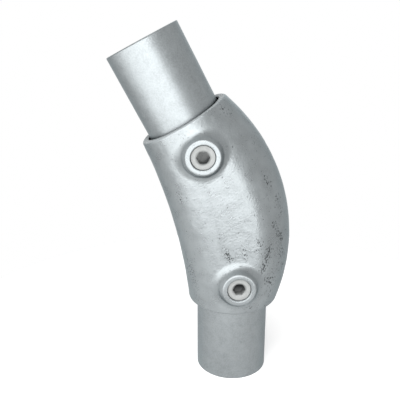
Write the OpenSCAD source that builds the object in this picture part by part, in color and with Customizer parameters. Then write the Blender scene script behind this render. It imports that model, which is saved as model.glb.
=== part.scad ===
// Variable angle elbow for round tube: a hollow cast body with two collars, set 30 degrees apart,
// that takes a tube end in each and lets both tubes swing in the plane of the bend.
// Millimetres, +Z up. The origin is the centre of the lower tube's cut end. The bend lies in
// the XZ plane, the upper tube leans to -X, and the set screws face -Y.

/* [Tube] */
// Outside diameter of the tube
tube_od = 48.3; // [40:0.1:56]
// Wall thickness of the tube
tube_wall = 3.2; // [2:0.1:5]
// Length of the lower tube outside the casting
lower_reach = 52.5; // [30:0.5:150]
// Length of the upper tube outside the casting
upper_reach = 53.3; // [30:0.5:150]
// Length of each tube inside the casting
tube_grip = 32; // [30:0.5:38]

/* [Casting] */
// Distance from each rim to the point where the two collar axes cross
collar_arm = 66.5; // [60:0.5:80]
// Wall thickness round each rim
rim_wall = 4.65; // [3.5:0.05:8]
// Wall thickness along the two curved sides
side_wall = 3.8; // [3:0.1:4]
// Wall thickness of the flat front and back
face_wall = 4.4; // [3:0.1:5]
// How far the outer side of the bend bows out past its rim corners
outer_bow = 23; // [22.5:0.5:30]
// How far the inner side of the bend bows in past its rim corners
inner_bow = 4.6; // [3:0.1:6]
// Depth of the narrow land at each mouth
mouth_land = 1.5; // [0.5:0.1:2.5]
// Width of the rounded edge round each rim
rim_edge = 1.6; // [0.8:0.1:3]

/* [Bosses] */
// Diameter of each set screw boss
boss_d = 21.2; // [19:0.1:24]
// Height of each boss above the flat front
boss_rise = 6.5; // [4:0.1:9]
// Distance from each rim to the middle of its boss
boss_inset = 20.6; // [19:0.1:22]
// Radius of the fillet at the root of each boss
boss_fillet = 5; // [2:0.5:5]
// Radius of the rounded edge round each boss face
boss_edge = 0.8; // [0.3:0.1:1.5]
// Width of the bevel round the mouth of each set screw hole
hole_bevel = 0.4; // [0.2:0.1:0.8]

/* [Set screws] */
// Diameter of each set screw and its hole, at the root of the thread
screw_d = 15; // [12:0.1:15.5]
// Depth of the screw's end below the boss face
screw_recess = 1.2; // [0:0.1:3]
// Width across the flats of the key socket
socket_af = 7; // [5:0.5:8]
// Diameter of the bevelled mouth of the key socket
socket_mouth_d = 9.2; // [8.4:0.1:10]
// Depth of the key socket
socket_deep = 5.5; // [3:0.5:6]
// Width of the bevel on both ends of the screw
screw_bevel = 0.75; // [0.5:0.05:2]
// Diameter of the cup in the end that grips the tube
cup_d = 8; // [5:0.5:9]

/* [Hidden] */
$fn = 96;

// Angle between the two collar axes, and the swing of a tube in its collar towards more bend
collar_angle = 30;
swing_more = 15;
// Swing of the upper tube at rest, a little back towards straight
upper_rest_swing = -2.63;

// Clearance round a fully swung tube at the mouth, round a screw, and from screw tip to tube
mouth_gap = 0.15;
screw_gap = 0.08;
tip_gap = 0.3;
// Overlap that lets one cut run cleanly past another face
past = 1;

// Slope of the key socket's bevelled mouth, and slope and share of the width of its drilled floor
mouth_slope = 30;
drill_slope = 31;
drill_share = 0.9;

tube_r = tube_od / 2;
half_bend = collar_angle / 2;
mouth_r = tube_r / cos(swing_more) + mouth_land * tan(swing_more) / 2 + mouth_gap;
rim_r = mouth_r + rim_wall;
pivot_depth = mouth_land / 2;
boss_r = boss_d / 2;
boss_face = rim_r + boss_rise;
screw_hole_r = screw_d / 2;
screw_r = screw_hole_r - screw_gap;
screw_len = boss_face - screw_recess - tube_r - tip_gap;

// In the plane of the bend, x runs outwards across the chord between the rims and y up along it
rim_y = collar_arm * cos(half_bend);
outer_corner_y = rim_y + rim_r * sin(half_bend);
inner_corner_y = rim_y - rim_r * sin(half_bend);
corner_x = rim_r * cos(half_bend);
outer_x = corner_x + outer_bow;
inner_x = -corner_x + inner_bow;

// Radius of an arc from half its chord and its rise
function arc_radius(half_chord, rise) = (half_chord ^ 2 + rise ^ 2) / (2 * rise);
outer_r = arc_radius(outer_corner_y, outer_bow);
inner_r = arc_radius(inner_corner_y, inner_bow);
outer_centre_x = outer_x - outer_r;
inner_centre_x = inner_x - inner_r;
body_width = outer_x - inner_x;

// Moves children from the bend's own frame to their place over the lower tube
module place_bend() {
    translate([0, 0, lower_reach])
        rotate([0, -half_bend, 0])
            rotate([90, 0, 0])
                translate([0, rim_y, 0])
                    children();
}

// Puts children at a rim's centre, with y out of the mouth along the collar axis
module at_rim(upper) {
    mirror([0, upper ? 0 : 1, 0])
        translate([0, rim_y, 0])
            rotate([0, 0, half_bend])
                children();
}

// Closed band between the two curved sides: round edges, and flat front and back
module bent_band(inset, half_thick) {
    outer_spine = outer_r - inset - half_thick;
    inner_spine = inner_r + inset + half_thick;
    sliver = half_thick / 1500;
    intersection() {
        translate([outer_centre_x, 0, 0])
            rotate_extrude()
                intersection() {
                    union() {
                        translate([outer_spine, 0])
                            circle(half_thick);
                        translate([0, -half_thick])
                            square([outer_spine, 2 * half_thick]);
                    }
                    translate([0, sliver - half_thick])
                        square([outer_spine + half_thick + past, 2 * (half_thick - sliver)]);
                }
        translate([inner_centre_x, 0, 0])
            rotate([0, 0, -half_bend])
                rotate_extrude(angle = collar_angle)
                    union() {
                        translate([inner_spine, 0])
                            circle(half_thick);
                        translate([inner_spine, -half_thick])
                            square([body_width, 2 * half_thick]);
                    }
    }
}

// Everything below a rim's plane, with the rim's rounded edge, as a turned shape on the collar axis
module rim_limit() {
    edge_angle = 60;
    edge_steps = 5;
    edge_r = rim_edge / sin(edge_angle);
    edge_arc = [
        for (i = [0:edge_steps])
            let (a = i * edge_angle / edge_steps)
            [rim_r - rim_edge + edge_r * sin(a), -edge_r * (1 - cos(a))]
    ];
    deep = 3 * collar_arm;
    rotate([-90, 0, 0])
        rotate_extrude()
            polygon(concat(
                [[0, 0]],
                edge_arc,
                [[rim_r + deep / tan(edge_angle), -deep], [0, -deep]]
            ));
}

// Half space inside a rim's plane, moved in by a depth
module inside_rim(depth) {
    span = 4 * collar_arm;
    translate([-span / 2, -depth - span, -span / 2])
        cube(span);
}

// Height of the casting's front at a place in the plane of the bend
function beyond_outer(q) = norm(q - [outer_centre_x, 0]) - (outer_r - rim_r);
function beyond_inner(q) = (inner_r + rim_r) - norm(q - [inner_centre_x, 0]);
function front_height(q) =
    let (d = max(0, beyond_outer(q), beyond_inner(q)))
    sqrt(rim_r ^ 2 - d ^ 2);

// Place on the front, at a radius and angle round the upper boss's axis
boss_middle = [0, rim_y] + boss_inset * [sin(half_bend), -cos(half_bend)];
function round_boss(r, turn) = boss_middle + r * [cos(turn), sin(turn)];
function boss_root_height(r, turn) = front_height(round_boss(r, turn));
function fall(r, turn, step = 0.05) =
    atan((boss_root_height(r - step, turn) - boss_root_height(r + step, turn)) / (2 * step));

// Fall of the front where the root fillet lands on it, found by repeated closing in
function landing_fall(turn, guess = 0, rounds = 4) =
    rounds == 0 ? guess
    : landing_fall(turn, fall(boss_r + boss_fillet * (1 - sin(guess)), turn), rounds - 1);

// Steps along the root fillet's arc, spokes round it, its sink into the front and its depth inside
fillet_steps = 6;
fillet_spokes = 48;
fillet_sink = 0.1;
fillet_inside = 2;
// The fillet stops a little off the boss's side, so that its flat facets stay clear of that curve
fillet_lip = 0.15;

// One spoke of the root fillet: an arc from the boss's side to the front, closed inside the wall
function fillet_spoke(turn) =
    let (
        slope = landing_fall(turn),
        landing_r = boss_r + boss_fillet * (1 - sin(slope)),
        middle_z = boss_root_height(landing_r, turn) + boss_fillet * cos(slope) - fillet_sink,
        floor_z = boss_root_height(landing_r, turn) - fillet_inside,
        top = acos(1 - fillet_lip / boss_fillet),
        arc = [
            for (i = [0:fillet_steps])
                let (a = top + i * (90 - slope - top) / fillet_steps)
                [boss_r + boss_fillet * (1 - cos(a)), middle_z - boss_fillet * sin(a)]
        ]
    )
    concat([[boss_r - past, arc[0][1]]], arc, [[landing_r, floor_z], [boss_r - past, floor_z]]);

// Fillet round the root of the upper boss, in the bend's own frame
module boss_root() {
    spokes = [for (i = [0:fillet_spokes - 1]) i * 360 / fillet_spokes];
    rings = [for (turn = spokes) fillet_spoke(turn)];
    size = len(rings[0]);
    points = [
        for (i = [0:fillet_spokes - 1])
            for (p = rings[i])
                let (at = round_boss(p[0], spokes[i]))
                [at[0], at[1], p[1]]
    ];
    faces = [
        for (i = [0:fillet_spokes - 1])
            for (j = [0:size - 1])
                let (
                    a = i * size + j,
                    b = i * size + (j + 1) % size,
                    c = ((i + 1) % fillet_spokes) * size + (j + 1) % size,
                    d = ((i + 1) % fillet_spokes) * size + j
                )
                for (half = [0, 1])
                    half == 0 ? [a, c, b] : [a, d, c]
    ];
    polyhedron(points = points, faces = faces);
}

// Boss of one collar, from inside the wall out to its rounded face
module boss() {
    base = rim_r - face_wall / 2 - boss_fillet / 2;
    rounding_z = boss_face - boss_edge;
    translate([0, -boss_inset, 0])
        rotate_extrude()
            union() {
                translate([0, base])
                    square([boss_r, rounding_z - base]);
                translate([0, base])
                    square([boss_r - boss_edge, boss_face - base]);
                translate([boss_r - boss_edge, rounding_z])
                    circle(boss_edge);
            }
}

// Hole for a set screw, from its bevelled mouth in the boss face through to the hollow
module screw_hole() {
    translate([0, -boss_inset, 0]) {
        cylinder(r = screw_hole_r, h = boss_face + past);
        translate([0, 0, boss_face - hole_bevel])
            cylinder(r1 = screw_hole_r, r2 = screw_hole_r + hole_bevel + past, h = hole_bevel + past);
    }
}

// Hollow cast body with its two mouths and two bosses
module clamp_body() {
    color([0.78, 0.80, 0.81])
        place_bend()
            difference() {
                union() {
                    intersection() {
                        bent_band(0, rim_r);
                        at_rim(true)
                            rim_limit();
                        at_rim(false)
                            rim_limit();
                    }
                    for (upper = [true, false])
                        at_rim(upper)
                            boss();
                    for (flip = [0, 1])
                        mirror([0, flip, 0])
                            boss_root();
                }
                intersection() {
                    bent_band(side_wall, rim_r - face_wall);
                    at_rim(true)
                        inside_rim(mouth_land);
                    at_rim(false)
                        inside_rim(mouth_land);
                }
                for (upper = [true, false])
                    at_rim(upper) {
                        screw_hole();
                        translate([0, past, 0])
                            rotate([90, 0, 0])
                                cylinder(r = mouth_r, h = mouth_land + 2 * past);
                    }
            }
}

// Straight tube with open ends, from its outer end at the origin up along z
module tube(length) {
    difference() {
        cylinder(r = tube_r, h = length);
        translate([0, 0, -past])
            cylinder(r = tube_r - tube_wall, h = length + 2 * past);
    }
}

module lower_tube() {
    color([0.62, 0.65, 0.66])
        tube(lower_reach + tube_grip);
}

module upper_tube() {
    color([0.62, 0.65, 0.66])
        place_bend()
            at_rim(true)
                translate([0, -pivot_depth, 0])
                    rotate([0, 0, upper_rest_swing])
                        translate([0, upper_reach + pivot_depth, 0])
                            rotate([90, 0, 0])
                                tube(upper_reach + tube_grip);
}

// Hexagonal key socket cut down from z = 0, with a bevelled mouth and a drilled floor
module key_socket() {
    mouth_deep = (socket_mouth_d - socket_af) / 2 * tan(mouth_slope);
    mouth_spread = (mouth_deep + past) / tan(mouth_slope);
    drill_r = drill_share * socket_af / 2;
    drill_deep = drill_r * tan(drill_slope);
    translate([0, 0, -socket_deep])
        cylinder(d = socket_af / cos(30), h = socket_deep + past, $fn = 6);
    translate([0, 0, -mouth_deep])
        cylinder(r1 = socket_af / 2, r2 = socket_af / 2 + mouth_spread, h = mouth_deep + past);
    translate([0, 0, -socket_deep])
        rotate_extrude()
            polygon([[0, -drill_deep], [drill_r, 0], [drill_r, past], [0, past]]);
}

// Set screw on the boss axis of one collar: bevelled ends, key socket outside, cup point inside
module set_screw() {
    tip = tube_r + tip_gap;
    top = tip + screw_len;
    cup_deep = cup_d / 6;
    translate([0, -boss_inset, 0])
        difference() {
            rotate_extrude()
                polygon([
                    [0, tip + cup_deep],
                    [cup_d / 2, tip],
                    [screw_r - screw_bevel, tip],
                    [screw_r, tip + screw_bevel],
                    [screw_r, top - screw_bevel],
                    [screw_r - screw_bevel, top],
                    [0, top]
                ]);
            translate([0, 0, top])
                key_socket();
        }
}

module lower_set_screw() {
    color([0.74, 0.73, 0.69])
        place_bend()
            at_rim(false)
                set_screw();
}

module upper_set_screw() {
    color([0.74, 0.73, 0.69])
        place_bend()
            at_rim(true)
                set_screw();
}

clamp_body();
lower_tube();
upper_tube();
lower_set_screw();
upper_set_screw();
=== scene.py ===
"""Looks of a variable angle elbow for round tube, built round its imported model. Metres, +Z up."""

from itertools import product
from math import cos, pi, radians, sin, tan

import bpy
import numpy as np
from mathutils import Matrix, Vector


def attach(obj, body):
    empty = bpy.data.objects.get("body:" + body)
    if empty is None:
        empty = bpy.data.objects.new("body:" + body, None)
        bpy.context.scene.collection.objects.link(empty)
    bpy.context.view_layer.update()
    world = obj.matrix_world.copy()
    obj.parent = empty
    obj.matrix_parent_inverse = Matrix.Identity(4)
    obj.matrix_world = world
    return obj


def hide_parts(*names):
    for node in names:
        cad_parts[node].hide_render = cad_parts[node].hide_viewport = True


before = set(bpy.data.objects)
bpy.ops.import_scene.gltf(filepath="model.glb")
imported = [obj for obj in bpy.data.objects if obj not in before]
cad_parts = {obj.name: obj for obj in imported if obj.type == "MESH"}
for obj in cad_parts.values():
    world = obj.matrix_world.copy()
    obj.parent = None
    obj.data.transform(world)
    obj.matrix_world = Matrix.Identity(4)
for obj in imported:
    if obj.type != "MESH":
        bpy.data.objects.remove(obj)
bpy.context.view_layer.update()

MM = 0.001

# Driving dimensions of the object, in millimetres
TUBE_R = 24.15
TUBE_WALL = 3.2
LOWER_REACH = 52.5
UPPER_REACH = 53.3
TUBE_GRIP = 32
COLLAR_ARM = 66.5
RIM_WALL = 4.65
SIDE_WALL = 3.8
FACE_WALL = 4.4
OUTER_BOW = 23
INNER_BOW = 4.6
MOUTH_LAND = 1.5
MOUTH_GAP = 0.15
BOSS_R = 10.6
BOSS_RISE = 6.5
BOSS_INSET = 20.6
BOSS_DRAFT = radians(22)
SCREW_HOLE_R = 7.5
SCREW_R = 7.42
SCREW_RECESS = 1.2
SCREW_TIP = TUBE_R + 0.3
SCREW_BEVEL = 0.3
SOCKET_AF = 7
SOCKET_DEEP = 5.5
SOCKET_MOUTH_R = 4.6
DISH_R = 5.1
DRILL_R = 0.45 * SOCKET_AF
MOUTH_SLOPE = radians(30)
DRILL_SLOPE = radians(31)
CUP_R = 4

# Thread: its pitch and depth, how steep its flanks are and how wide its crests, and its play
THREAD_PITCH = 1.337
THREAD_DEPTH = 0.7
THREAD_FLANK = 2.6
THREAD_CREST = 0.25
THREAD_PLAY = 0.03

# Widths of the casting's rounded edges and fillets; the rim's edge is crisper at front and back
SIDE_EDGE = 1.0
BAND_EDGE = 0.7
RIM_EDGE = 1.6
FRONT_CRISPER = 0.8
BOSS_FILLET = 3.0
BOSS_EDGE = 0.45
MOUTH_EDGE = 0.8
CHAMBER_EDGE = 0.6
LAND_EDGE = 0.4

# The two collar axes are 30 degrees apart. A tube swings 15 degrees towards more bend, and at rest
# the upper one is swung 2.63 degrees back
HALF_BEND = radians(15)
SWING_MORE = radians(15)
UPPER_SWING = radians(-2.63)
MOUTH_R = TUBE_R / cos(SWING_MORE) + MOUTH_LAND * tan(SWING_MORE) / 2 + MOUTH_GAP
MOUTH_DEEP = 5 * MOUTH_LAND
PIVOT_DEEP = MOUTH_LAND / 2
RIM_R = MOUTH_R + RIM_WALL
BOSS_FACE = RIM_R + BOSS_RISE
RIM_Y = COLLAR_ARM * cos(HALF_BEND)
OUTER_X = RIM_R * cos(HALF_BEND) + OUTER_BOW
INNER_X = -RIM_R * cos(HALF_BEND) + INNER_BOW


def arc_radius(half_chord, rise):
    return (half_chord**2 + rise**2) / (2 * rise)


OUTER_ARC = arc_radius(RIM_Y + RIM_R * sin(HALF_BEND), OUTER_BOW)
INNER_ARC = arc_radius(RIM_Y - RIM_R * sin(HALF_BEND), INNER_BOW)
SPINE_R = RIM_Y / sin(HALF_BEND)

# The bend's own frame: x out across the chord between the rims, y up along it, z to the front
BEND = Matrix.Translation((0, 0, LOWER_REACH * MM)) @ Matrix.Rotation(-HALF_BEND, 4, "Y")
BEND = BEND @ Matrix.Rotation(pi / 2, 4, "X") @ Matrix.Translation((0, RIM_Y * MM, 0))


def along_y(length):
    """Move along y by a length in millimetres."""
    return Matrix.Translation((0, length * MM, 0))


def at_rim(side):
    """Frame of a rim, the upper one for side 1 and the lower for -1: y points out of the mouth."""
    mirror = Matrix.Diagonal((1, side, 1, 1))
    return BEND @ mirror @ (along_y(RIM_Y) @ Matrix.Rotation(HALF_BEND, 4, "Z"))


# The casting's shape is a distance to its surface, negative inside


def soft_max(a, b, width):
    return 0.5 * (a + b + np.sqrt((a - b) ** 2 + width**2))


def round_cut(a, b, radius):
    """What lies in both shapes, with the edge between them rounded."""
    both = np.hypot(np.maximum(a + radius, 0), np.maximum(b + radius, 0))
    return np.minimum(np.maximum(a, b), -radius) + both


def round_join(a, b, radius):
    """What lies in either shape, with a fillet between them."""
    return -round_cut(-a, -b, radius)


def band(x, y, z, inset, half_thick):
    """Closed band between the two curved sides, with round edges and a flat front and back."""
    outer = np.hypot(x - (OUTER_X - OUTER_ARC), y) - (OUTER_ARC - inset - half_thick)
    inner = (INNER_ARC + inset + half_thick) - np.hypot(x - (INNER_X - INNER_ARC), y)
    beyond = soft_max(soft_max(outer, inner, SIDE_EDGE), 0, BAND_EDGE)
    return np.hypot(beyond, z) - half_thick


def collar(x, y, side):
    """Place in a collar's frame: across it, and out of its mouth."""
    up = side * y - RIM_Y
    return x * cos(HALF_BEND) + up * sin(HALF_BEND), -x * sin(HALF_BEND) + up * cos(HALF_BEND)


def boss_field(spoke, z):
    """Tapered boss with a flat face, from the distance to its axis and the height."""
    side_wall = (spoke - BOSS_R) * cos(BOSS_DRAFT) + (z - BOSS_FACE) * sin(BOSS_DRAFT)
    return round_cut(side_wall, z - BOSS_FACE, BOSS_EDGE)


def casting_field(x, y, z):
    """Distance to the casting's surface from places in the bend's frame, in millimetres."""
    body = band(x, y, z, 0, RIM_R)
    hollow = band(x, y, z, SIDE_WALL, RIM_R - FACE_WALL)
    inside_wall = RIM_R / 2 - z
    rim_edge = RIM_EDGE - FRONT_CRISPER * np.clip(np.abs(z) / RIM_R, 0, 1) ** 2
    for side in (1, -1):
        across, out = collar(x, y, side)
        boss = boss_field(np.hypot(across, out + BOSS_INSET), z)
        body = round_join(body, np.maximum(boss, inside_wall), BOSS_FILLET)
        body = round_cut(body, out, rim_edge)
        hollow = round_cut(hollow, out + MOUTH_LAND, CHAMBER_EDGE)
    for side in (1, -1):
        across, out = collar(x, y, side)
        mouth = np.maximum(np.hypot(across, z) - MOUTH_R, -out - MOUTH_DEEP)
        spoke = np.hypot(across, out + BOSS_INSET)
        body = round_cut(body, -mouth, MOUTH_EDGE)
        hollow = np.minimum(hollow, np.maximum(spoke - SCREW_HOLE_R, inside_wall))
    return round_cut(body, -hollow, LAND_EDGE)


# A net of quads over the surface


def stops(low, high, step, fine, zones, growth=0.25):
    """Rising stops from low to high, a step apart, or fine apart within the zones."""
    found = [low]
    while found[-1] < high:
        here = found[-1]
        off = min([max(a - here, here - b, 0) for a, b in zones] + [8 * step])
        found.append(here + min(step, fine + growth * off))
    return np.array(found)


def bent_grid(across, along, up):
    """Grid points in the bend's frame, whose rows turn with the bend so that they meet the rims."""
    u, s, z = np.meshgrid(across, along, up, indexing="ij")
    turn = s / SPINE_R
    x = (SPINE_R + u) * np.cos(turn) - SPINE_R * cos(HALF_BEND)
    return x, (SPINE_R + u) * np.sin(turn), z


def span(values, axis, start, length):
    return np.take(values, range(start, start + length), axis=axis)


def surface_net(values, points):
    """Vertices, one in each cell that the surface crosses, and the quads between them."""
    cells = [n - 1 for n in values.shape]
    total = np.zeros((*cells, 3))
    count = np.zeros(cells)
    crossings = []
    for axis in range(3):
        low, high = span(values, axis, 0, cells[axis]), span(values, axis, 1, cells[axis])
        crossed = (low < 0) != (high < 0)
        share = np.where(crossed, low / np.where(crossed, low - high, 1), 0)[..., None]
        a, b = span(points, axis, 0, cells[axis]), span(points, axis, 1, cells[axis])
        place = (a + (b - a) * share) * crossed[..., None]
        crossings.append((crossed, low < 0))
        p, q = [k for k in range(3) if k != axis]
        for dp, dq in product((0, 1), (0, 1)):
            total += span(span(place, p, dp, cells[p]), q, dq, cells[q])
            count += span(span(crossed, p, dp, cells[p]), q, dq, cells[q])
    used = count > 0
    number = np.full(cells, -1)
    number[used] = np.arange(used.sum())
    quads = []
    for axis, (crossed, rising) in enumerate(crossings):
        p, q = (axis + 1) % 3, (axis + 2) % 3
        at = np.argwhere(crossed)
        past_low = np.all([at[:, k] > 0 for k in (p, q)], 0)
        below_high = np.all([at[:, k] < cells[k] for k in (p, q)], 0)
        at = at[past_low & below_high]
        corners = []
        for dp, dq in ((1, 1), (0, 1), (0, 0), (1, 0)):
            cell = at.copy()
            cell[:, p] -= dp
            cell[:, q] -= dq
            corners.append(number[tuple(cell.T)])
        quad = np.stack(corners, 1)
        out = rising[tuple(at.T)]
        quads += [quad[out], quad[~out][:, ::-1]]
    return total[used] / count[used][:, None], np.concatenate(quads)


def slope(field, places, step=0.01):
    shifts = step * np.eye(3)
    return np.stack([(field(*(places + s).T) - field(*(places - s).T)) / (2 * step) for s in shifts], 1)


def unit_normal(field, places):
    rise = slope(field, places)
    return rise / np.linalg.norm(rise, axis=1, keepdims=True)


def settle(field, places, rounds=3, least_rise=0.25, longest=0.8):
    """Moves places onto the surface of the field, in steps no longer than the longest."""
    for _ in range(rounds):
        rise = slope(field, places)
        steep = np.maximum((rise**2).sum(1), least_rise)[:, None]
        move = field(*places.T)[:, None] * rise / steep
        places = places - np.clip(move, -longest, longest)
    return places


def evened(field, places, quads, rounds=2, pull=0.5):
    """Spreads places evenly over the surface, without leaving it."""
    ends = np.concatenate([quads[:, [k, (k + 1) % 4]] for k in range(4)])
    share = np.bincount(ends[:, 0], minlength=len(places))[:, None]
    for _ in range(rounds):
        sums = [np.bincount(ends[:, 0], places[ends[:, 1], k], len(places)) for k in range(3)]
        normal = unit_normal(field, places)
        move = pull * (np.stack(sums, 1) / share - places)
        places = places + move - (move * normal).sum(1, keepdims=True) * normal
        places = settle(field, places, rounds=2)
    return places


def wobble(places, size, seed, repeat=32):
    """Smooth noise of about unit height, whose bumps are size apart."""
    lattice = np.random.default_rng(seed).standard_normal((repeat, repeat, repeat))
    scaled = places / size
    base = np.floor(scaled).astype(int)
    part = scaled - base
    part = part * part * (3 - 2 * part)
    total = np.zeros(len(places))
    for corner in product((0, 1), repeat=3):
        weight = np.prod(np.where(corner, part, 1 - part), axis=1)
        total += weight * lattice[tuple(((base + corner) % repeat).T)]
    return total


def new_mesh(name, points, faces, sharp_angle=None):
    """Object with a smooth mesh, from points in millimetres."""
    mesh = bpy.data.meshes.new(name)
    mesh.from_pydata((np.asarray(points) * MM).tolist(), [], [list(map(int, f)) for f in faces])
    mesh.shade_smooth()
    if sharp_angle is not None:
        mesh.set_sharp_from_angle(angle=radians(sharp_angle))
    piece = bpy.data.objects.new(name, mesh)
    bpy.context.scene.collection.objects.link(piece)
    return piece


def add_attribute(piece, name, values):
    attribute = piece.data.attributes.new(name, "FLOAT", "POINT")
    attribute.data.foreach_set("value", np.asarray(values, np.float32))


# Trails of pits in the zinc on the front, in the bend's frame: two ends, half width, strength
PIT_TRAILS = [
    ((22, 70), (28, 61), 2.7, 0.55),
    ((38, 43), (39, 36), 2.4, 0.35),
    ((38, 21), (41, 12), 2.4, 0.65),
    ((36, 8), (36, 2), 2.2, 0.35),
    ((43, 4), (44, -8), 2.5, 0.75),
    ((37, -11), (40, -24), 2.7, 0.9),
    ((38, -26), (37, -44), 6.0, 0.5),
    ((26, -18), (24, -26), 3.1, 0.6),
    ((31, -25), (24, -38), 3.1, 1.0),
    ((25, -47), (26, -50), 3.4, 1.0),
    ((29, -41), (29, -49), 2.7, 0.5),
    ((24, -55), (21, -67), 3.1, 0.45),
    ((9, -62), (13, -65), 3.1, 0.5),
    ((4, -21), (5, -25), 3.0, 0.95),
    ((14, -21), (15, -26), 3.4, 0.6),
    ((3, -19), (1, -9), 3.1, 0.3),
    ((-17, -3), (-18, -9), 2.5, 0.4),
    ((-21, -24), (-22, -43), 3.1, 0.6),
    ((-14, 24), (-14, 18), 2.7, 0.6),
    ((8, 10), (11, 10), 2.7, 0.3),
]

# Patches of pits on the back: their spacing, the least noise that has pits, and the strongest
PATCH_SIZE = 13
PATCH_START = 0.5
PATCH_MOST = 0.7

# Waves of the cast skin: height, spacing and seed, the lowest and highest, and how far the skin
# lies inside the solids on average
WAVES = [(0.045, 5.5, 1), (0.025, 2.6, 2)]
LOWEST_WAVE, HIGHEST_WAVE = -0.12, 0.08
SKIN_INSET = 0.105

# Shares of the waves that are left on the bosses and at the rims, where they fade over a width
BOSS_SHARE = 0.15
RIM_SHARE = 0.1
RIM_FADE = 3

# How far beyond its wall a boss still counts as one, and how deep its machined face reaches down
BOSS_SKIN = 0.2
MACHINED_SKIN = 0.4

# Matt, duller zinc: on the cut rims, in the holes, and in part on the bosses' walls
CUT_RIM = 0.3
CUT_HOLE = 0.1
BOSS_WALL = 1.8
BOSS_WALL_SHARE = 0.3

# Grid that the casting's net is drawn on: its step, the finer steps at the bosses and rims, and
# how far it reaches past the two curved sides, the rims, and the back and the bosses' faces
GRID_STEP = 1.35
GRID_FINE = 0.55
GRID_FINE_UP = 0.5
PAST_INNER, PAST_OUTER = 5, 1
PAST_RIM = 1.5
PAST_FACE = 1.3

# Zones of the finer steps: round each boss, on both sides of each rim, and along the bosses' walls
BOSS_ZONE = 1
RIM_ZONE_OUT, RIM_ZONE_IN = 0.6, 2
WALL_ZONE_ROOT, WALL_ZONE_FACE = 3, 0.5

# Points round each turned piece, and rings along the tubes and the thread
TUBE_SIDES = 160
SCREW_SIDES = 96
FLOOR_SIDES = 128
TUBE_RINGS = 28
BORE_RINGS = 6
THREAD_RINGS = 72


def from_line(x, y, start, end):
    """Distance of places from the line between two points."""
    way = np.subtract(end, start)
    share = np.clip(((x - start[0]) * way[0] + (y - start[1]) * way[1]) / (way @ way), 0, 1)
    return np.hypot(x - start[0] - share * way[0], y - start[1] - share * way[1])


def pitting(places):
    """How pitted the zinc is: along the trails on the front, and in loose patches on the back."""
    x, y, z = places.T
    found = np.zeros(len(places))
    for start, end, half_width, strength in PIT_TRAILS:
        near = np.exp(-((from_line(x, y, start, end) / half_width) ** 2))
        found = np.maximum(found, strength * near)
    patches = np.clip(wobble(places, PATCH_SIZE, seed=5) - PATCH_START, 0, PATCH_MOST)
    return np.where(z > 0, found, patches)


def casting_net():
    """Places spread over the casting's surface, closer at its bosses and rims, and their quads."""
    boss_s = (HALF_BEND - BOSS_INSET / SPINE_R) * SPINE_R
    rim_s = HALF_BEND * SPINE_R
    reach = BOSS_R + BOSS_ZONE
    bosses = [(s - reach, s + reach) for s in (-boss_s, boss_s)]
    lower_rim = (-rim_s - RIM_ZONE_OUT, -rim_s + RIM_ZONE_IN)
    upper_rim = (rim_s - RIM_ZONE_IN, rim_s + RIM_ZONE_OUT)
    along_zones = [*bosses, lower_rim, upper_rim]
    up_zone = (RIM_R + WALL_ZONE_ROOT, BOSS_FACE + WALL_ZONE_FACE)
    across = stops(-RIM_R - PAST_INNER, OUTER_X + PAST_OUTER, GRID_STEP, GRID_FINE, [(-reach, reach)])
    along = stops(-rim_s - PAST_RIM, rim_s + PAST_RIM, GRID_STEP, GRID_FINE, along_zones)
    up = stops(-RIM_R - PAST_FACE, BOSS_FACE + PAST_FACE, GRID_STEP, GRID_FINE_UP, [up_zone])
    x, y, z = bent_grid(across, along, up)
    places, quads = surface_net(casting_field(x, y, z), np.stack([x, y, z], -1))
    places = settle(casting_field, places)
    return evened(casting_field, places, quads), quads


def make_casting():
    """The hollow cast body, with rounded edges, filleted bosses and the slight waves of a casting."""
    places, quads = casting_net()
    height = places[:, 2]
    collars = [collar(*places[:, :2].T, side) for side in (1, -1)]
    spoke = np.minimum(*[np.hypot(across, out + BOSS_INSET) for across, out in collars])
    from_rim = np.minimum(*[-out for _, out in collars])
    on_boss = (spoke < BOSS_R + BOSS_SKIN) & (height > RIM_R)
    skin = np.where(on_boss, BOSS_SHARE, 1.0) * np.clip(from_rim / RIM_FADE, RIM_SHARE, 1)
    waves = sum(high * wobble(places, size, seed) for high, size, seed in WAVES)
    lift = np.clip(waves, LOWEST_WAVE, HIGHEST_WAVE) * skin - SKIN_INSET
    lifted = places + unit_normal(casting_field, places) * lift[:, None]
    piece = new_mesh("cast_elbow", lifted, quads)
    add_attribute(piece, "pitting", pitting(places) * skin)
    add_attribute(piece, "machined", (height > BOSS_FACE - MACHINED_SKIN) & on_boss)
    boss_wall = (spoke > BOSS_R) & (spoke < BOSS_R + BOSS_WALL) & (height > RIM_R)
    in_hole = (spoke < SCREW_HOLE_R + CUT_HOLE) & (height > 0)
    matt = (from_rim < CUT_RIM) | in_hole
    add_attribute(piece, "cut", np.maximum(matt, BOSS_WALL_SHARE * boss_wall))
    piece.data.transform(BEND)
    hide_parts("clamp_body")
    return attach(piece, "casting")


# Turned pieces: rings of points round z


def turned(name, rings, sharp_angle=30):
    """Closes rings of equal size into a solid, from the first ring to the last and back to the first."""
    rings = np.array(rings)
    rows, around = rings.shape[:2]
    first = np.arange(rows)[:, None] * around + np.arange(around)
    right = np.roll(first, -1, 1)
    above, above_right = np.roll(first, -1, 0), np.roll(right, -1, 0)
    faces = np.stack([first, right, above_right, above], -1).reshape(-1, 4)
    return new_mesh(name, rings.reshape(-1, 3), faces, sharp_angle)


def ring(radius, height, angles):
    radius, height = np.broadcast_to(radius, angles.shape), np.broadcast_to(height, angles.shape)
    return np.stack([radius * np.cos(angles), radius * np.sin(angles), height], -1)


def turn_angles(sides):
    return np.linspace(0, 2 * pi, sides, endpoint=False)


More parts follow.
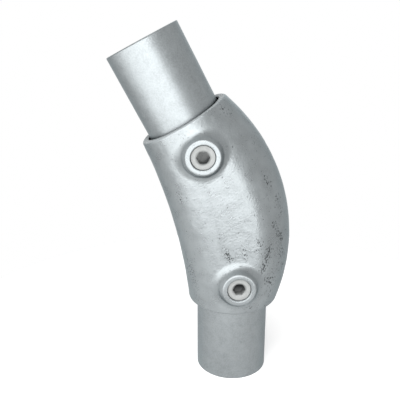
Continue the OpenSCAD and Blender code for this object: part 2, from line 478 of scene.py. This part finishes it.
def dented(height, angles, seed):
    """Ring of the tube's outside at a height, with slight dents."""
    high, size, inset, deepest = 0.02, 9, 0.03, 0.08
    dent = high * wobble(ring(TUBE_R, height, angles), size, seed) - inset
    return ring(TUBE_R + np.clip(dent, -deepest, 0), height, angles)


def make_tube(name, node, length, seam, seed):
    """A length of tube with its cut ends slightly broken and a weld bead along its inside."""
    angles = turn_angles(TUBE_SIDES)
    bead_half, bead_high, burr, end = 2.2 / TUBE_R, 0.55, 0.35, 1.5
    off_seam = (angles - seam + pi) % (2 * pi) - pi
    bore = TUBE_R - TUBE_WALL - bead_high * np.exp(-((off_seam / bead_half) ** 2))
    outside = [burr, *np.linspace(end, length - end, TUBE_RINGS), length - burr]
    inside = np.linspace(length - burr, burr, BORE_RINGS)
    rings = [dented(height, angles, seed) for height in outside]
    rings += [ring(TUBE_R - burr, length, angles), ring(bore + burr, length, angles)]
    rings += [ring(bore, height, angles) for height in inside]
    rings += [ring(bore + burr, 0, angles), ring(TUBE_R - burr, 0, angles)]
    piece = turned(name, rings)
    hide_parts(node)
    return piece


def hexagon(angles, flats):
    """Radius of a hexagon, with corners at 0 and 60 degrees, at each angle."""
    off_flat = (angles % (pi / 3)) - pi / 6
    return flats / 2 / np.cos(off_flat)


def thread_radius(height, angles, low, high):
    """Radius of the thread at a height, drawn in below the low and above the high bevel."""
    phase = (height / THREAD_PITCH - angles / (2 * pi)) % 1
    tooth = np.clip(np.abs(phase - 0.5) * THREAD_FLANK - THREAD_CREST, 0, 1)
    inset = max(low - height, height - high, 0)
    return np.minimum(SCREW_R - THREAD_PLAY - THREAD_DEPTH * tooth, SCREW_R - inset)


def screw_profile(angles, top):
    """Radius and height of each ring: those outside, from cup to key, and those in the socket.

    The small steps break the edges between the faces.
    """
    centre_r = 0.02
    lip, lip_fall, tip_flat = 0.2, 0.1, 0.5
    face_in, face_fall, mouth_out, mouth_fall = 0.25, 0.02, 0.15, 0.05
    key_out, key_rise, key_fall, floor_fall = 0.06, 0.04, 0.06, 0.05
    face_r = SCREW_R - SCREW_BEVEL
    floor = top - SOCKET_DEEP
    key = hexagon(angles, SOCKET_AF)
    key_top = top - (SOCKET_MOUTH_R - key) * tan(MOUTH_SLOPE)
    cup = [(centre_r, SCREW_TIP + CUP_R / 3), (CUP_R - lip, SCREW_TIP + lip_fall)]
    cup += [(CUP_R + lip, SCREW_TIP), (face_r - tip_flat, SCREW_TIP)]
    low, high = SCREW_TIP + SCREW_BEVEL, top - SCREW_BEVEL
    heights = np.linspace(SCREW_TIP, top, THREAD_RINGS)[1:-1]
    thread = [(thread_radius(height, angles, low, high), height) for height in heights]
    face = [(face_r, top - face_fall), (face_r - face_in, top), (DISH_R, top)]
    face += [(SOCKET_MOUTH_R + mouth_out, top - face_fall), (SOCKET_MOUTH_R, top - mouth_fall)]
    face += [(key + key_out, key_top + key_rise)]
    socket = [(key, key_top - key_fall), (key, floor), (DRILL_R, floor - floor_fall)]
    socket += [(centre_r, floor - DRILL_R * tan(DRILL_SLOPE))]
    return cup + thread + face, socket


def painted_socket_shade(places, outside, top, side, turn):
    """Painted shade for each place in the key socket and, less and less, over the dish round it.

    The lower socket's painted shade deepens with depth, and the upper one, which the light reaches into,
    is painted lighter with depth; the side towards the light is painted lighter too.
    """
    middle, by_depth, by_light = 0.66, 0.36, 0.85
    x, y, height = places.T
    deep = (top - height) / SOCKET_DEEP
    lit = (x * sin(turn) + y * cos(turn)) / SOCKET_AF
    painted_shade = np.clip(middle - by_depth * side * deep - by_light * lit, 0, 1)
    dish = np.clip((DISH_R - np.hypot(x, y)) / (DISH_R - SOCKET_AF / 2), 0, 1)
    painted_shade[:outside] *= dish[:outside]
    return painted_shade


def make_screw(name, node, side, turn):
    """Set screw: bevelled ends, thread, chamfered key socket and cup point, on its boss's axis."""
    angles = turn_angles(SCREW_SIDES)
    top = BOSS_FACE - SCREW_RECESS
    outer, socket = screw_profile(angles, top)
    rings = [ring(radius, height, angles) for radius, height in outer + socket]
    piece = turned(name, rings)
    outside = len(outer) * len(angles)
    # The inside attribute holds the painted shade of the key socket
    add_attribute(piece, "inside", painted_socket_shade(np.concatenate(rings), outside, top, side, turn))
    mesh_turn = Matrix.Rotation(turn, 4, "Z")
    piece.data.transform(at_rim(side) @ along_y(-BOSS_INSET) @ mesh_turn)
    if side < 0:
        piece.data.flip_normals()
    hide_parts(node)
    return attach(piece, node)


# Materials


class Nodes:
    """Short calls for a material's node tree, whose surface is one Principled shader."""

    def __init__(self, name):
        self.material = bpy.data.materials.new(name)
        self.material.use_nodes = True
        self.tree = self.material.node_tree
        self.shader = self.tree.nodes["Principled BSDF"]

    def add(self, kind, inputs=(), **settings):
        made = self.tree.nodes.new("ShaderNode" + kind)
        for key, value in settings.items():
            setattr(made, key, value)
        for key, value in dict(inputs).items():
            self.set(made, key, value)
        return made

    def set(self, made, key, value):
        socket = made.inputs[key]
        if isinstance(value, bpy.types.NodeSocket):
            self.tree.links.new(value, socket)
        else:
            socket.default_value = value

    def surface(self, **values):
        for key, value in values.items():
            self.set(self.shader, key.replace("_", " "), value)

    def place(self, stretch=(1, 1, 1), turn=0.0):
        """Place on the object in millimetres, stretched along axes that are turned round y."""
        inputs = {"Vector": self.add("TexCoord").outputs["Object"], "Rotation": (0, turn, 0),
                  "Scale": [k * MM for k in stretch]}
        return self.add("Mapping", inputs, vector_type="TEXTURE").outputs["Vector"]

    def noise(self, where, size, detail=3, rough=0.5, distort=0):
        made = self.add("TexNoise", {"Vector": where, "Scale": 1 / size, "Detail": detail,
                                     "Roughness": rough, "Distortion": distort})
        return made.outputs["Fac"]

    def cells(self, where, size):
        return self.add("TexVoronoi", {"Vector": where, "Scale": 1 / size}).outputs

    def remap(self, value, low, high, to_low=0.0, to_high=1.0):
        inputs = {"Value": value, "From Min": low, "From Max": high, "To Min": to_low, "To Max": to_high}
        return self.add("MapRange", inputs, interpolation_type="SMOOTHSTEP").outputs["Result"]

    def math(self, operation, a, b):
        made = self.add("Math", operation=operation)
        self.set(made, 0, a)
        self.set(made, 1, b)
        return made.outputs[0]

    def plus(self, a, share, b):
        """The first value and a share of the second."""
        return self.math("ADD", a, self.math("MULTIPLY", b, share))

    def blend(self, share, a, b):
        return self.add("MixRGB", {"Fac": share, "Color1": a, "Color2": b}).outputs[0]

    def attribute(self, name):
        return self.add("Attribute", attribute_name=name).outputs["Fac"]

    def bump(self, height, distance):
        return self.add("Bump", {"Height": height, "Distance": distance * MM}).outputs["Normal"]


def grey(value, tint=(0.905, 0.975, 1.0)):
    return (*[value * t for t in tint], 1)


# Middle range of the clouds' noise, which is stretched to 0 to 1, and the tint of metal seen at a
# low angle
CLOUDS = (0.3, 0.7)
LOW_ANGLE = grey(0.7)


def casting_material():
    """Hot-dip galvanised casting: fine orange peel, cloudy zinc, dark pits where the coat is thin."""
    dull_zinc, zinc, pale_zinc = grey(0.255), grey(0.295), grey(0.345)
    cut_zinc, pit_dark = grey(0.24), grey(0.05)
    pit_weight, pit_cover, pit_depth = 0.175, 0.85, 0.6
    grain_height, fine_height, relief_height = 0.8, 0.18, 0.18
    matt = 0.3
    n = Nodes("galvanised_casting")
    plain = n.place()
    streaked = n.place(stretch=(2.2, 1, 1), turn=radians(-40))
    leaning = n.place(stretch=(1, 1, 1.4), turn=radians(25))
    clouds = n.noise(plain, size=9)
    grain = n.noise(streaked, size=0.8, detail=2, rough=0.45)
    fine = n.noise(plain, size=0.5, detail=2)
    spots = n.noise(leaning, size=1.0, rough=0.65)
    pits = n.remap(n.plus(spots, pit_weight, n.attribute("pitting")), 0.645, 0.725)
    cut = n.attribute("cut")
    colour = n.blend(n.remap(clouds, *CLOUDS), dull_zinc, zinc)
    colour = n.blend(n.remap(fine, 0.35, 0.7, to_high=0.3), colour, pale_zinc)
    colour = n.blend(n.math("MULTIPLY", pits, pit_cover), colour, pit_dark)
    colour = n.blend(cut, colour, cut_zinc)
    peel = n.plus(n.math("MULTIPLY", grain, grain_height), fine_height, fine)
    relief = n.math("SUBTRACT", peel, n.math("MULTIPLY", pits, pit_depth))
    soft = n.remap(n.attribute("machined"), 0, 1, to_low=1.0, to_high=0.35)
    normal = n.bump(n.math("MULTIPLY", relief, soft), relief_height)
    rough = n.remap(clouds, *CLOUDS, to_low=0.27, to_high=0.31)
    rough = n.plus(rough, matt, n.math("MAXIMUM", pits, cut))
    n.surface(Base_Color=colour, Metallic=n.math("SUBTRACT", 1.0, cut), Roughness=rough,
              Normal=normal, Specular_Tint=LOW_ANGLE)
    return n.material


def tube_material():
    """Galvanised tube: smoother than the casting, with a faint mottled spangle and pale frost."""
    dull_zinc, zinc, pale_flake, pale_frost = grey(0.235), grey(0.268), grey(0.33), grey(0.32)
    cloud_height, fine_height, relief_height = 0.7, 0.7, 0.10
    n = Nodes("galvanised_tube")
    plain = n.place()
    clouds = n.noise(plain, size=7, detail=4, rough=0.55, distort=0.6)
    spangle = n.cells(n.place(stretch=(1, 1, 1.25)), size=3.2)["Color"]
    frost = n.noise(plain, size=0.9, detail=2, rough=0.6)
    fine = n.noise(plain, size=0.5, detail=2)
    colour = n.blend(n.remap(clouds, *CLOUDS), dull_zinc, zinc)
    colour = n.blend(n.remap(spangle, 0.2, 0.9, to_high=0.22), colour, pale_flake)
    colour = n.blend(n.remap(frost, 0.35, 0.65, to_high=0.5), colour, pale_frost)
    relief = n.plus(n.math("MULTIPLY", clouds, cloud_height), fine_height, fine)
    rough = n.remap(spangle, 0, 1, to_low=0.32, to_high=0.37)
    n.surface(Base_Color=colour, Metallic=1.0, Roughness=rough,
              Normal=n.bump(relief, relief_height), Specular_Tint=LOW_ANGLE)
    return n.material


def screw_material():
    """Case-hardened set screw with a warm grey, satin coat, and painted shade in its key socket."""
    warm = (0.965, 1.0, 0.985)
    coat, pale_coat, painted_socket_shade_grey = grey(0.265, warm), grey(0.3, warm), grey(0.03)
    fine_height, relief_height = 0.5, 0.05
    n = Nodes("set_screw")
    plain = n.place()
    clouds = n.noise(plain, size=2.5)
    fine = n.noise(plain, size=0.35, detail=2)
    # Painted shade in the key socket darkens the colour and takes out the shine
    inside = n.attribute("inside")
    colour = n.blend(n.remap(clouds, *CLOUDS), coat, pale_coat)
    colour = n.blend(inside, colour, painted_socket_shade_grey)
    shine = n.remap(inside, 0, 1, to_low=0.5, to_high=0.0)
    rough = n.remap(fine, 0.3, 0.7, to_low=0.42, to_high=0.55)
    relief = n.plus(clouds, fine_height, fine)
    n.surface(Base_Color=colour, Specular_IOR_Level=shine, Roughness=rough,
              Normal=n.bump(relief, relief_height))
    return n.material


# Stage: camera, white surround, floor, and soft lights at the front left, behind and above

# Strength of the surround for the rays that don't see it as white
SURROUND_DIM = 0.25

# Floor: its radius in metres, its shade, and how strongly it glows to the camera and in metal
FLOOR_R = 0.25
FLOOR_SHADE = 0.8
FLOOR_GLOW = [("Is Camera Ray", 0.41), ("Is Glossy Ray", 0.21)]

# A wall of light round the front left, in upright panels with a dim one at each end: azimuth
# from and to, distance, bottom, top, radiance
TENT = [
    (-102, -84, 0.36, 0.0, 0.77, 0.5),
    (-84, -66, 0.36, -0.04, 0.77, 1.3),
    (-66, -48, 0.36, -0.09, 0.77, 2.3),
    (-48, -30, 0.36, -0.09, 0.77, 2.6),
    (-30, -12, 0.36, -0.05, 0.77, 2.7),
    (-12, 6, 0.45, -0.04, 0.93, 2.65),
    (4, 18.5, 1.0, 0.2, 1.9, 2.6),
    (6, 28, 1.0, -0.3, 0.2, 2.55),
    (18.5, 48, 1.0, -0.3, 1.9, 0.25),
]

# A square light behind the object and one above it: side, azimuth, elevation, distance, radiance
LAMP_SIDE = 0.9
BACK = (170, 20, 1.2, 0.4)
TOP = (-20, 65, 1.0, 3.0)

# Middle of the object, which the lights are aimed at, except that a tent panel has its own height
MIDDLE_X = -0.01
MIDDLE_Z = 0.12

# Camera: place, degrees down and degrees to the right, lens and film in millimetres, clip range
EYE = (-0.045804, -0.348472, 0.233748)
LOOK_DOWN = 17.763
LOOK_RIGHT = 3.841
LENS = 50
FILM = 36
CLIP = (0.01, 20)


def seen_white(tree):
    """1 for rays from the camera, and for reflected and transmitted ones, and else 0."""
    path = tree.nodes.new("ShaderNodeLightPath")
    total = path.outputs["Is Camera Ray"]
    for name in ("Is Glossy Ray", "Is Transmission Ray"):
        both = tree.nodes.new("ShaderNodeMath")
        both.operation = "MAXIMUM"
        tree.links.new(total, both.inputs[0])
        tree.links.new(path.outputs[name], both.inputs[1])
        total = both.outputs[0]
    return total


def make_world():
    """White surround, dimmer for the light that it throws on matt surfaces."""
    world = bpy.data.worlds.new("surround")
    bpy.context.scene.world = world
    world.use_nodes = True
    tree = world.node_tree
    strength = tree.nodes.new("ShaderNodeMapRange")
    tree.links.new(seen_white(tree), strength.inputs["Value"])
    strength.inputs["To Min"].default_value = SURROUND_DIM
    strength.inputs["To Max"].default_value = 1.0
    tree.nodes["Background"].inputs["Color"].default_value = (1, 1, 1, 1)
    tree.links.new(strength.outputs["Result"], tree.nodes["Background"].inputs["Strength"])


def floor_glow(tree):
    """Strength of the floor's own light, for each kind of ray."""
    path = tree.nodes.new("ShaderNodeLightPath")
    shares = []
    for ray, strength in FLOOR_GLOW:
        share = tree.nodes.new("ShaderNodeMapRange")
        share.inputs["To Max"].default_value = strength
        tree.links.new(path.outputs[ray], share.inputs["Value"])
        shares.append(share.outputs["Result"])
    total = tree.nodes.new("ShaderNodeMath")
    for socket, share in zip(total.inputs, shares):
        tree.links.new(share, socket)
    return total.outputs[0]


def floor_material():
    """Pale matt surface with a glow that fills its shade up to white, except under the object."""
    material = bpy.data.materials.new("floor")
    material.use_nodes = True
    tree = material.node_tree
    diffuse = tree.nodes.new("ShaderNodeBsdfDiffuse")
    diffuse.inputs["Color"].default_value = (FLOOR_SHADE, FLOOR_SHADE, FLOOR_SHADE, 1)
    glow = tree.nodes.new("ShaderNodeEmission")
    tree.links.new(floor_glow(tree), glow.inputs["Strength"])
    both = tree.nodes.new("ShaderNodeAddShader")
    tree.links.new(diffuse.outputs[0], both.inputs[0])
    tree.links.new(glow.outputs[0], both.inputs[1])
    tree.links.new(both.outputs[0], tree.nodes["Material Output"].inputs["Surface"])
    return material


def make_floor():
    """Round table top."""
    around = [(FLOOR_R * cos(a), FLOOR_R * sin(a), 0) for a in turn_angles(FLOOR_SIDES)]
    mesh = bpy.data.meshes.new("floor")
    mesh.from_pydata(around, [], [list(range(len(around)))])
    floor = bpy.data.objects.new("floor", mesh)
    bpy.context.scene.collection.objects.link(floor)
    mesh.materials.append(floor_material())


def make_softbox(name, azimuth, elevation, distance, size, radiance, aim=MIDDLE_Z, glossy=True):
    """Soft light aimed at a height on the object, mirrored in metal only where it is glossy.

    Azimuth 0 is in front of the object and grows to its right.
    """
    a, e = radians(azimuth), radians(elevation)
    middle = Vector((MIDDLE_X, 0, aim))
    way = Vector((sin(a) * cos(e), -cos(a) * cos(e), sin(e)))
    light = bpy.data.lights.new(name, "AREA")
    light.shape = "RECTANGLE"
    light.size, light.size_y = size
    light.energy = radiance * pi * size[0] * size[1]
    lamp = bpy.data.objects.new(name, light)
    lamp.location = middle + way * distance
    lamp.rotation_mode = "QUATERNION"
    lamp.rotation_quaternion = way.to_track_quat("Z", "Y")
    lamp.visible_camera = False
    lamp.visible_glossy = glossy
    bpy.context.scene.collection.objects.link(lamp)


def make_lamp(name, azimuth, elevation, distance, radiance, glossy=True):
    """Square soft light aimed at the middle of the object."""
    size = (LAMP_SIDE, LAMP_SIDE)
    make_softbox(name, azimuth, elevation, distance, size, radiance, glossy=glossy)


def make_tent():
    """The wall of light, each panel of which is as wide as its stretch of azimuth."""
    for start, stop, distance, bottom, top, radiance in TENT:
        size = (2 * distance * tan(radians(stop - start) / 2), top - bottom)
        azimuth, aim = (start + stop) / 2, (top + bottom) / 2
        make_softbox("tent", azimuth, 0, distance, size, radiance, aim)


def make_camera():
    """The photograph's view, found from the outlines of the tubes, rims and bosses."""
    camera = bpy.data.cameras.new("camera")
    camera.sensor_width = FILM
    camera.lens = LENS
    camera.clip_start, camera.clip_end = CLIP
    eye = bpy.data.objects.new("camera", camera)
    eye.location = EYE
    eye.rotation_euler = (radians(90 - LOOK_DOWN), 0, radians(-LOOK_RIGHT))
    bpy.context.scene.collection.objects.link(eye)
    bpy.context.scene.camera = eye


make_camera()
make_world()
make_floor()
make_tent()
make_lamp("back", *BACK)
make_lamp("top", *TOP, glossy=False)
bpy.context.scene.view_settings.view_transform = "Standard"

casting = make_casting()
casting.data.materials.append(casting_material())

zinc = tube_material()
lower = make_tube("lower_tube_stub", "lower_tube", LOWER_REACH + TUBE_GRIP, seam=1.9, seed=11)
upper = make_tube("upper_tube_stub", "upper_tube", UPPER_REACH + TUBE_GRIP, seam=2.4, seed=12)
swung = at_rim(1) @ along_y(-PIVOT_DEEP) @ Matrix.Rotation(UPPER_SWING, 4, "Z")
upper.data.transform(swung @ along_y(UPPER_REACH + PIVOT_DEEP) @ Matrix.Rotation(pi / 2, 4, "X"))
for piece, body in ((lower, "lower_tube"), (upper, "upper_tube")):
    piece.data.materials.append(zinc)
    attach(piece, body)

coat = screw_material()
lower_screw = make_screw("lower_key_screw", "lower_set_screw", side=-1, turn=radians(1.5))
upper_screw = make_screw("upper_key_screw", "upper_set_screw", side=1, turn=radians(30))
for screw in (lower_screw, upper_screw):
    screw.data.materials.append(coat)
